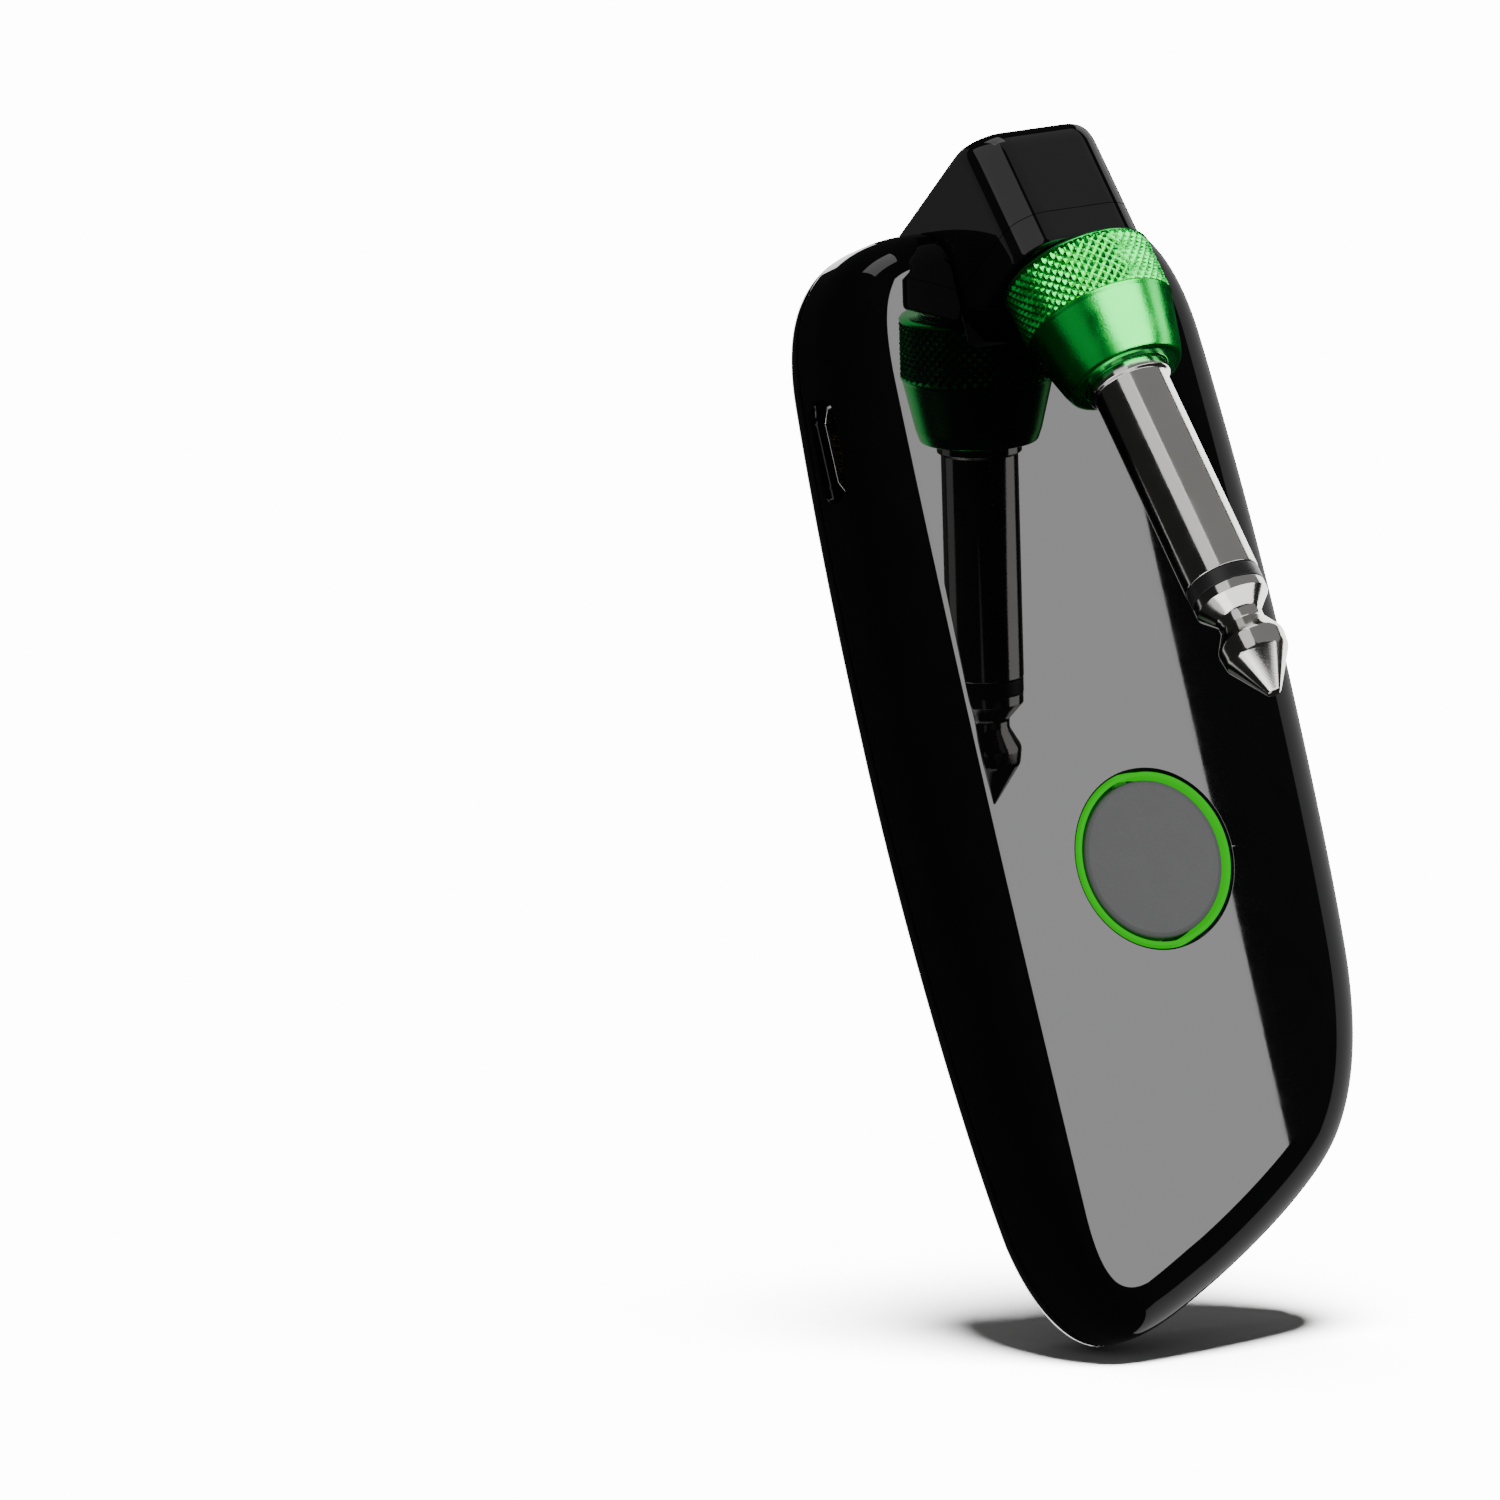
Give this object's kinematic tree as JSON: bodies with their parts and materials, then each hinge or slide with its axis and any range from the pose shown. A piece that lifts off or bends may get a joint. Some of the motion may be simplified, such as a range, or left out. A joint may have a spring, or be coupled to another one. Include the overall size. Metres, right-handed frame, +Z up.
{
  "type": "wireless guitar transmitter",
  "caption": "Flat glossy wireless transmitter for an electric guitar, with a folding arm that carries a phone plug, a knurled nut, a round lit button and a charging socket.",
  "frame": {"origin": "centre of the plug's shoulder, in the mouth of the knurled nut: the point that meets the face of the instrument's socket", "axes": "+Z up along the housing towards the horns and the folding arm, +Y from the front face to the back, +X to the right seen from the front; the plug leans 20.9 degrees forward of -Z at rest"},
  "size_m": [0.0385, 0.0371, 0.0975],
  "materials": {
    "housing_gloss": "polished black",
    "key_grey": "satin grey",
    "light_green": "lit translucent green",
    "anodised_green": "knurled and green anodised",
    "nickel": "bright nickel plate",
    "steel": "plain",
    "brass": "turned",
    "black_plastic": "moulded",
    "board": "solder mask",
    "battery_foil": "laminated foil pouch",
    "clear_pipe": "clear",
    "wire_grey": "insulated",
    "wire_red": "insulated",
    "wire_black": "insulated",
    "ceramic": "ceramic body",
    "nylon": "natural"
  },
  "bodies": {
    "housing": {"front_shell": "housing_gloss", "back_shell": "housing_gloss", "light_ring": "light_green", "power_switch": "steel", "main_board": "board", "radio_shield": "steel", "chip_antenna": "ceramic", "battery_cell": "battery_foil", "battery_tab_board": "board", "battery_lead_red": "wire_red", "battery_lead_black": "wire_black", "charging_socket_shell": "nickel", "charging_socket_tongue": "black_plastic", "pairing_switch": "steel", "body_lead": "wire_grey", "charge_lamp_1": "ceramic", "charge_lamp_2": "ceramic", "charge_lamp_3": "ceramic", "charge_lamp_4": "ceramic", "light_pipe_1": "clear_pipe", "light_pipe_2": "clear_pipe", "light_pipe_3": "clear_pipe", "light_pipe_4": "clear_pipe", "ring_lamp_left": "ceramic", "ring_lamp_right": "ceramic", "ring_lamp_top": "ceramic", "ring_lamp_bottom": "ceramic", "board_screw_1": "steel", "board_screw_2": "steel", "board_screw_3": "steel", "board_screw_4": "steel", "hinge_stub_left": "steel", "hinge_stub_right": "steel", "hinge_washer_left": "nylon", "hinge_washer_right": "nylon"},
    "arm": {"arm_shell": "housing_gloss", "arm_underplate": "housing_gloss", "hinge_bush_left": "brass", "hinge_bush_right": "brass", "arm_lead": "wire_grey", "plug_sleeve": "nickel", "plug_insulator": "black_plastic", "plug_tip": "nickel", "nut_washer": "nickel", "plug_locknut": "brass", "tip_terminal": "brass"},
    "nut": {"knurled_nut": "anodised_green"},
    "power_key": {"power_button": "key_grey"},
    "pairing_key": {"pairing_button": "black_plastic"}
  },
  "joints": [
    {"name": "arm_fold", "type": "hinge", "parent": "housing", "child": "arm", "pos_m": [0, 0.0185, 0.01199], "axis": [-1, 0, 0], "range_deg": [-17, 249]},
    {"name": "nut_turn", "type": "hinge", "parent": "arm", "child": "nut", "pos_m": [0, 0, 0], "axis": [0, -0.3567, -0.9342], "continuous": true},
    {"name": "power_press", "type": "slide", "parent": "housing", "child": "power_key", "axis": [0, 1, 0], "range_m": [0, 0.0003], "stiffness_N_per_m": 2500},
    {"name": "pair_press", "type": "slide", "parent": "housing", "child": "pairing_key", "axis": [-1, 0, 0], "range_m": [0, 0.0003], "stiffness_N_per_m": 2500}
  ]
}
